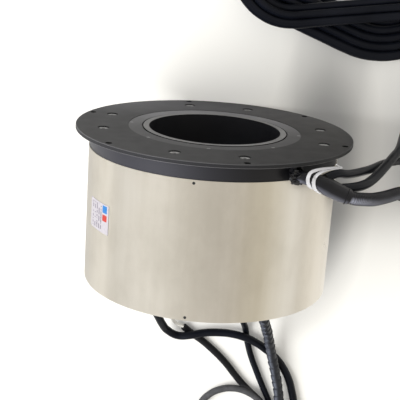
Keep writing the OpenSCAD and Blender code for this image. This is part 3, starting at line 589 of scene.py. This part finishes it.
def strap(name, middle, toward, wide, high, body):
    """A plastic strap round the strands of a coil; toward is the angle from the coil's middle."""
    out = Vector((math.cos(math.radians(toward)), math.sin(math.radians(toward)), 0.0))
    along = Vector((-out.y, out.x, 0.0))
    verts = []
    count = 32
    for i in range(count):
        a = 2 * math.pi * i / count
        c, s = math.cos(a), math.sin(a)
        for grow in (0.0, STRAP_T):
            x = (wide / 2 + grow) * math.copysign(abs(c) ** 0.4, c)
            z = (high / 2 + grow) * math.copysign(abs(s) ** 0.4, s)
            at = Vector(middle) + out * x
            at.z = max(at.z + z, FLOOR_Z + (0.0001 if grow else 0.0004))
            verts += [at - along * (STRAP_WIDTH / 2), at + along * (STRAP_WIDTH / 2)]
    faces = []
    for i in range(count):
        a, b = 4 * i, 4 * ((i + 1) % count)
        faces += [(a, a + 1, b + 1, b), (a + 2, b + 2, b + 3, a + 3),
                  (a, b, b + 2, a + 2), (a + 1, a + 3, b + 3, b + 1)]
    piece = mesh_piece(name, verts, faces, MATERIALS["tape"])
    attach(piece, body)
    return piece


def belt_point(ends, inset, degrees):
    """The point of a loop round two circles where it faces this way, inset from its outside."""
    out = Vector((math.cos(math.radians(degrees)), math.sin(math.radians(degrees))))
    middle, radius = max(ends, key=lambda end: Vector(end[0]).dot(out) + end[1])
    return Vector(middle) + out * (radius - inset)


def belt_turns(ends, diameter, across, start, bottom):
    """Two layers of strands in a long loop: inward on the first and outward on the second."""
    points = []
    steps = 48
    for k in range(2 * across * steps):
        turns = k / steps
        if turns < across:
            inset = min(turns, across - 1)
            layer = max(0.0, (turns - across + 0.25) / 0.25)
        else:
            inset = across - 1 - min(turns - across, across - 1)
            layer = 1.0
        spot = belt_point(ends, diameter * (0.5 + inset), start + 360 * turns)
        points.append((spot.x, spot.y, bottom + diameter * (0.5 + layer)))
    line = np.array(points)
    at = distances(line)
    wanted = np.linspace(0.0, at[-1], int(at[-1] / 0.019))
    return [tuple(np.interp(w, at, line[:, k]) for k in range(3)) for w in wanted]


def round_cable(name, route, coil, diameter, body, nodes, material, tie):
    """A smooth-jacketed cable with its coil, as one curve."""
    points = [tuple(p) for p in smooth_route(in_metres(route), max(0.014, 1.8 * diameter))[0]]
    points = points[:-1] + coil
    piece = curve_tube(name, points, diameter)
    piece.data.materials.append(material)
    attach(piece, body)
    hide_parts(*nodes)
    cap = cut_end(name + "_end", points, diameter, body, MATERIALS["tape"])
    held = strap(name + "_strap", *tie, body)
    return piece


def add_cables():
    """The three sets of cables, with the sleeve, tape and ties that hold them."""
    black, sheened_cable = MATERIALS["cable"], MATERIALS["painted_sheen_cable"]
    on_pile = FLOOR_Z + 2 * THICK
    round_cable("stator_cable_second", STATOR_B_ROUTE, belt_turns(STATOR_B_LOOP, MEDIUM, 3, -12, on_pile),
                MEDIUM, "housing", ["stator_cable_b", "stator_coil_b"], black,
                ((0.1804, 0.2322, on_pile + MEDIUM), 100, 3 * MEDIUM, 2 * MEDIUM))
    round_cable("stator_cable_third", STATOR_C_ROUTE, belt_turns(STATOR_C_LOOP, THICK, 5, -25, FLOOR_Z),
                THICK, "housing", ["stator_cable_c", "stator_coil_c"], black,
                ((0.2101, 0.0950, FLOOR_Z + THICK), -60, 5 * THICK, 2 * THICK))
    turns = coil_turns(ROTOR_A_COIL, THICK, 90, -1, [(0, 0.048), (1, 0.048)])
    round_cable("rotor_cable_first", ROTOR_A_ROUTE, turns,
                THICK, "rotor", ["rotor_cable_a", "rotor_coil_a"], black,
                ((0.295, -0.430, FLOOR_Z + THICK), 0, THICK, 2 * THICK))
    turns = coil_turns(ROTOR_B_COIL, MEDIUM, 45, -1, [(0, 0.043), (1, 0.0462)], last=0.375)
    round_cable("rotor_cable_second", ROTOR_B_ROUTE, turns,
                MEDIUM, "rotor", ["rotor_cable_b", "rotor_coil_b"], sheened_cable,
                ((0.046, -0.4436, FLOOR_Z + MEDIUM), -90, 1.35 * MEDIUM, 2 * MEDIUM))
    turns = coil_turns(ROTOR_C_COIL, THIN, 180, 1, [(0, 0.038), (1, 0.038)])
    round_cable("rotor_cable_third", ROTOR_C_ROUTE, turns,
                THIN, "rotor", ["rotor_cable_c", "rotor_coil_c"], black,
                ((0.150, -0.483, FLOOR_Z + THIN), -90, THIN, 2 * THIN))
    add_conduit()
    add_wrapped_cable()
    add_leads()
    add_bundle()
    add_knot()
    add_ties()
    add_sunk_screws()


def add_conduit():
    """The ribbed conduit, whose ribs are rings of a mesh tube."""
    d = CONDUIT_D
    points = in_metres(CONDUIT_ROUTE)
    points = points[:-1] + coil_turns(CONDUIT_COIL, d, -90, 1, [(0, 0.065), (1, 0.065), (2, 0.065)])

    def ribs(s, angle):
        return d / 2 - CONDUIT_RIB + CONDUIT_RIB * math.cos(2 * math.pi * s / CONDUIT_RIB_PITCH)

    piece, line = swept_mesh("stator_conduit_ribbed", points, CONDUIT_RIB_PITCH / 4, 14, ribs)
    piece.data.materials.append(MATERIALS["conduit"])
    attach(piece, "housing")
    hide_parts("stator_conduit", "conduit_coil")
    cap = cut_end("conduit_end", points, d, "housing", MATERIALS["tape"])
    held = strap("conduit_strap", (0.355, -0.045, FLOOR_Z + 1.5 * d), 0, d, 3 * d, "housing")


def add_wrapped_cable():
    """The cable wrapped in tape, whose laps make a low spiral step."""
    d = WRAPPED_D
    points = in_metres(ROTOR_D_ROUTE)
    points = points[:-1] + coil_turns(ROTOR_D_COIL, d, -90, -1, [(0, 0.063), (1, 0.063)])

    def laps(s, angle):
        part = (s / TAPE_LAP + angle / (2 * math.pi) + 0.12 * math.sin(s / 0.023)) % 1.0
        return d / 2 - TAPE_STEP * part ** 2 + 0.0002 * math.sin(s / 0.0041 + 2 * angle)

    piece, line = swept_mesh("rotor_cable_wrapped", points, 0.0008, 28, laps)
    piece.data.materials.append(MATERIALS["wrap"])
    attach(piece, "rotor")
    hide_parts("rotor_cable_d", "rotor_coil_d")
    cap = cut_end("wrapped_end", points, d, "rotor", MATERIALS["tape"])
    held = strap("wrapped_strap", (-0.125, -0.457, FLOOR_Z + d), 180, d, 2 * d, "rotor")


def add_leads():
    """The three white leads, twisted together, that run into the second cable's jacket."""
    def three_lobes(s, angle):
        return 0.0021 * (0.66 + 0.34 * abs(math.cos(1.5 * (angle - s / LEADS_TWIST))))

    piece, line = swept_mesh("rotor_leads_white", in_metres(LEAD_ROUTE), 0.0009, 24, three_lobes)
    piece.data.materials.append(MATERIALS["white_lead"])
    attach(piece, "rotor")
    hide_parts("rotor_leads")


def bundle_radius(s):
    """Half the width of the sleeve this far from the outlet."""
    from_outlet = [0.008, 0.018, 0.030, 0.044, 0.056]
    half_width = [0.0058, 0.0073, 0.0086, 0.0082, 0.0072]
    return float(np.interp(s, from_outlet, half_width))


def hoop(name, line, back, radius, lean, thick):
    """A thin ring round the end of a route, its upper side leant back."""
    core = np.array(line)
    way = Vector(core[-1] - core[-6]).normalized()
    up = (TO_CAMERA - way * TO_CAMERA.dot(way)).normalized()
    side = way.cross(up)
    points = []
    for k in range(49):
        a = 2 * math.pi * k / 48
        out = up * math.cos(a) + side * math.sin(a)
        points.append(Vector(core[-1]) + out * radius - way * (back + lean * math.cos(a)))
    return curve_tube(name, [tuple(p) for p in points], thick)


def add_bundle():
    """The stretched sleeve over the three cables, narrow at the outlet and wide where they part."""
    piece, line = swept_mesh("bundle_sleeve", in_metres(BUNDLE_ROUTE), 0.001, 40,
                             lambda s, a: bundle_radius(s))
    piece.data.materials.append(MATERIALS["sleeve_tube"])
    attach(piece, "housing")
    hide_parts("cable_bundle")
    ring = hoop("bundle_end_ring", line, 0.0018, 0.0077, 0.0030, 0.0012)
    ring.data.materials.append(MATERIALS["tape"])
    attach(ring, "housing")
    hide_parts("conduit_collar")


def add_knot():
    """The lump of tape over the outlet, with its folds and loose edges."""
    verts, faces = [], []
    rings, sides = 64, 96
    for i in range(rings + 1):
        polar = math.pi * i / rings
        ring, height = math.sin(polar), math.cos(polar)
        for s in range(sides):
            turn = 2 * math.pi * s / sides
            out = Vector((ring * math.cos(turn), ring * math.sin(turn), height))
            swell = noise.noise(out * 1.7 + Vector((3.1, 0.4, 7.7)))
            fold = abs(noise.noise(out * 3.6 + Vector((1.3, 5.2, 2.9))))
            crease = abs(noise.noise(out * 8.0 + Vector((9.1, 2.2, 4.6))))
            size = KNOT_RADIUS * (1.0 + 0.40 * swell - 0.42 * fold - 0.16 * crease)
            verts.append(Vector(KNOT_AT) * MM + out * size)
    for i in range(rings):
        for s in range(sides):
            a, b = i * sides + s, i * sides + (s + 1) % sides
            faces.append((a, a + sides, b + sides, b))
    piece = mesh_piece("tape_knot", verts, faces, MATERIALS["knot_tape"], smooth=True)
    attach(piece, "housing")
    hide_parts("outlet_wrap")


def ribbon(name, route, widths):
    """A flat band along a route, lifted clear of the bundle and turned to lie on it."""
    line, along = smooth_route(in_metres(route), 0.0008)
    core, core_along = smooth_route(in_metres(BUNDLE_ROUTE), 0.001)
    nearest = []
    for k in range(len(line)):
        for _ in range(80):
            far = np.linalg.norm(core - line[k], axis=1)
            i = int(np.argmin(far))
            if far[i] >= bundle_radius(core_along[i]) + TIE_CLEARANCE:
                break
            line[k, 2] += TIE_CLEARANCE
        nearest.append(core[i])
    way = np.gradient(line, axis=0)
    way /= np.linalg.norm(way, axis=1)[:, None]
    verts = []
    for k in range(len(line)):
        out = Vector(line[k]) - Vector(nearest[k])
        out = (out - Vector(way[k]) * out.dot(Vector(way[k]))).normalized()
        side = out.cross(Vector(way[k]))
        half = np.interp(along[k] / along[-1], np.linspace(0, 1, len(widths)), widths) * MM / 2
        at = Vector(line[k])
        left, right = at - side * half, at + side * half
        verts += [left, left + out * TIE_T, right + out * TIE_T, right]
    faces = []
    for k in range(len(line) - 1):
        a, b = 4 * k, 4 * k + 4
        for i in range(4):
            j = (i + 1) % 4
            faces.append((a + i, a + j, b + j, b + i))
    end = 4 * (len(line) - 1)
    faces += [(3, 2, 1, 0), (end, end + 1, end + 2, end + 3)]
    piece = mesh_piece(name, verts, faces, MATERIALS["white_tie"])
    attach(piece, "housing")
    return piece


def add_sunk_screws():
    """The countersunk flange screws, driven a little below the face."""
    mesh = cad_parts["flange_screws"].data.copy()
    mesh.materials.clear()
    mesh.materials.append(MATERIALS["screw_head"])
    for vertex in mesh.vertices:
        vertex.co.y -= SCREW_SINK
    piece = bpy.data.objects.new("flange_screws_sunk", mesh)
    piece.matrix_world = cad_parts["flange_screws"].matrix_world.copy()
    bpy.context.collection.objects.link(piece)
    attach(piece, "housing")
    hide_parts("flange_screws")


def add_ties():
    """The white tie, wound twice round the bundle and drawn out along the cables to its tip."""
    widths = [2.6, 3.0, 3.2, 3.2, 2.8, 2.4, 1.8, 1.4]
    first = ribbon("cable_tie_first", TIE_ONE, widths)
    ribbon("cable_tie_second", TIE_TWO, widths)
    ribbon("cable_tie_tail", TIE_TAIL, [1.4, 1.2, 0.8])
    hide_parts("cable_ties")


# ---------------------------------------------------------------- stage

def floor_shade(n, at, stretch, stops):
    """A soft darker patch of the floor: grey stops by the stretched distance from a point."""
    return n.ramp(n.apart(at, stretch), [(d, (g, 0.995 * g, 0.975 * g)) for d, g in stops])


def add_floor():
    """White paper with the soft shades beside and close to the part; its mirror image is dimmer."""
    bpy.ops.mesh.primitive_plane_add(size=8.0, location=(0, 0, FLOOR_Z - 0.0002))
    floor = bpy.context.object
    floor.name = "floor"
    n = Nodes("floor_paper")
    beside = floor_shade(n, (0.125, 0.010, 0.0), (1, 0.20, 0),
                         [(0.0, 0.68), (0.035, 0.80), (0.048, 0.95), (0.058, 1.0)])
    close = floor_shade(n, (0.125, -0.031, 0.0), (1, 0.35, 0),
                        [(0.02, 0.25), (0.033, 0.36), (0.052, 0.80), (0.07, 1.0)])
    grain = n.ramp(n.noise(3.0), [(0.3, (0.73, 0.73, 0.725)), (0.7, (0.75, 0.75, 0.75))])
    paper = n.mixed(1.0, n.mixed(1.0, beside, close, "MULTIPLY"), grain, "MULTIPLY")
    path = n.add("ShaderNodeLightPath").outputs
    mirrored = n.ramp(n.math("ADD", n.axis(n.place, "X"), 0.5),
                      [(0.45, (0.45, 0.45, 0.445)), (0.66, (0.85, 0.84, 0.82))])
    n.color(n.mixed(path["Is Glossy Ray"], paper, mirrored))
    right = n.math("GREATER_THAN", n.axis(n.place, "X"), 0.1)
    glow = n.both(n.both(right, path["Is Glossy Ray"]), 0.05)
    n.set(Roughness=0.9, Specular_IOR_Level=0.0, Emission_Color=(1, 1, 1, 1))
    n.link(n.math("ADD", n.both(path["Is Camera Ray"], 0.13), glow), n.shader.inputs["Emission Strength"])
    floor.data.materials.append(n.material)


def area_light(name, at, aim, size, power, color=(1, 1, 1)):
    """A round lamp, kept out of mirror images unless the caller lets it in."""
    data = bpy.data.lights.new(name, "AREA")
    data.shape = "DISK"
    data.size = size
    data.energy = power
    data.color = color
    lamp = bpy.data.objects.new(name, data)
    lamp.location = at
    lamp.rotation_euler = (Vector(aim) - Vector(at)).to_track_quat("-Z", "Y").to_euler()
    lamp.visible_glossy = False
    bpy.context.collection.objects.link(lamp)
    return lamp


def add_light():
    """A bright room whose ceiling is dimmer and warmer straight above and to the right."""
    world = bpy.data.worlds.new("world")
    bpy.context.scene.world = world
    world.use_nodes = True
    tree = world.node_tree
    place = tree.nodes.new("ShaderNodeTexCoord").outputs["Generated"]
    split = tree.nodes.new("ShaderNodeSeparateXYZ")
    tree.links.new(place, split.inputs[0])
    lean = tree.nodes.new("ShaderNodeMath")
    lean.operation = "ARCTAN2"
    tree.links.new(split.outputs["X"], lean.inputs[0])
    tree.links.new(split.outputs["Z"], lean.inputs[1])
    part = tree.nodes.new("ShaderNodeMapRange")
    part.inputs["From Min"].default_value = -math.pi / 2
    part.inputs["From Max"].default_value = math.pi / 2
    tree.links.new(lean.outputs[0], part.inputs["Value"])
    sky = tree.nodes.new("ShaderNodeValToRGB")
    # Colour by the angle from straight above toward the part's right, in degrees
    stops = [(-90, (0.80, 0.80, 0.80)), (-32, (0.735, 0.728, 0.712)), (-14, (0.72, 0.704, 0.68)),
             (2, (0.63, 0.615, 0.595)), (26, (0.625, 0.60, 0.57)), (42, (0.55, 0.51, 0.42)),
             (58, (0.70, 0.66, 0.56)), (76, (1.0, 1.0, 0.98)), (90, (1.0, 1.0, 1.0))]
    set_stops(sky.color_ramp, [((degrees + 90) / 180, color) for degrees, color in stops])
    tree.links.new(part.outputs["Result"], sky.inputs["Fac"])
    background = tree.nodes["Background"]
    tree.links.new(sky.outputs["Color"], background.inputs["Color"])
    background.inputs["Strength"].default_value = 1.1
    area_light("key", (-1.2, -0.30, 1.15), (0, -0.05, 0), 1.3, 41)
    window = area_light("window", (-0.85, -1.5, 0.55), (0.1, -0.1, -0.05), 0.8, 6, (0.80, 0.88, 1.0))
    window.visible_glossy = True
    window.visible_diffuse = False


add_camera()
dress_nodes()
add_cables()
add_floor()
add_light()
bpy.context.scene.view_settings.view_transform = "Standard"
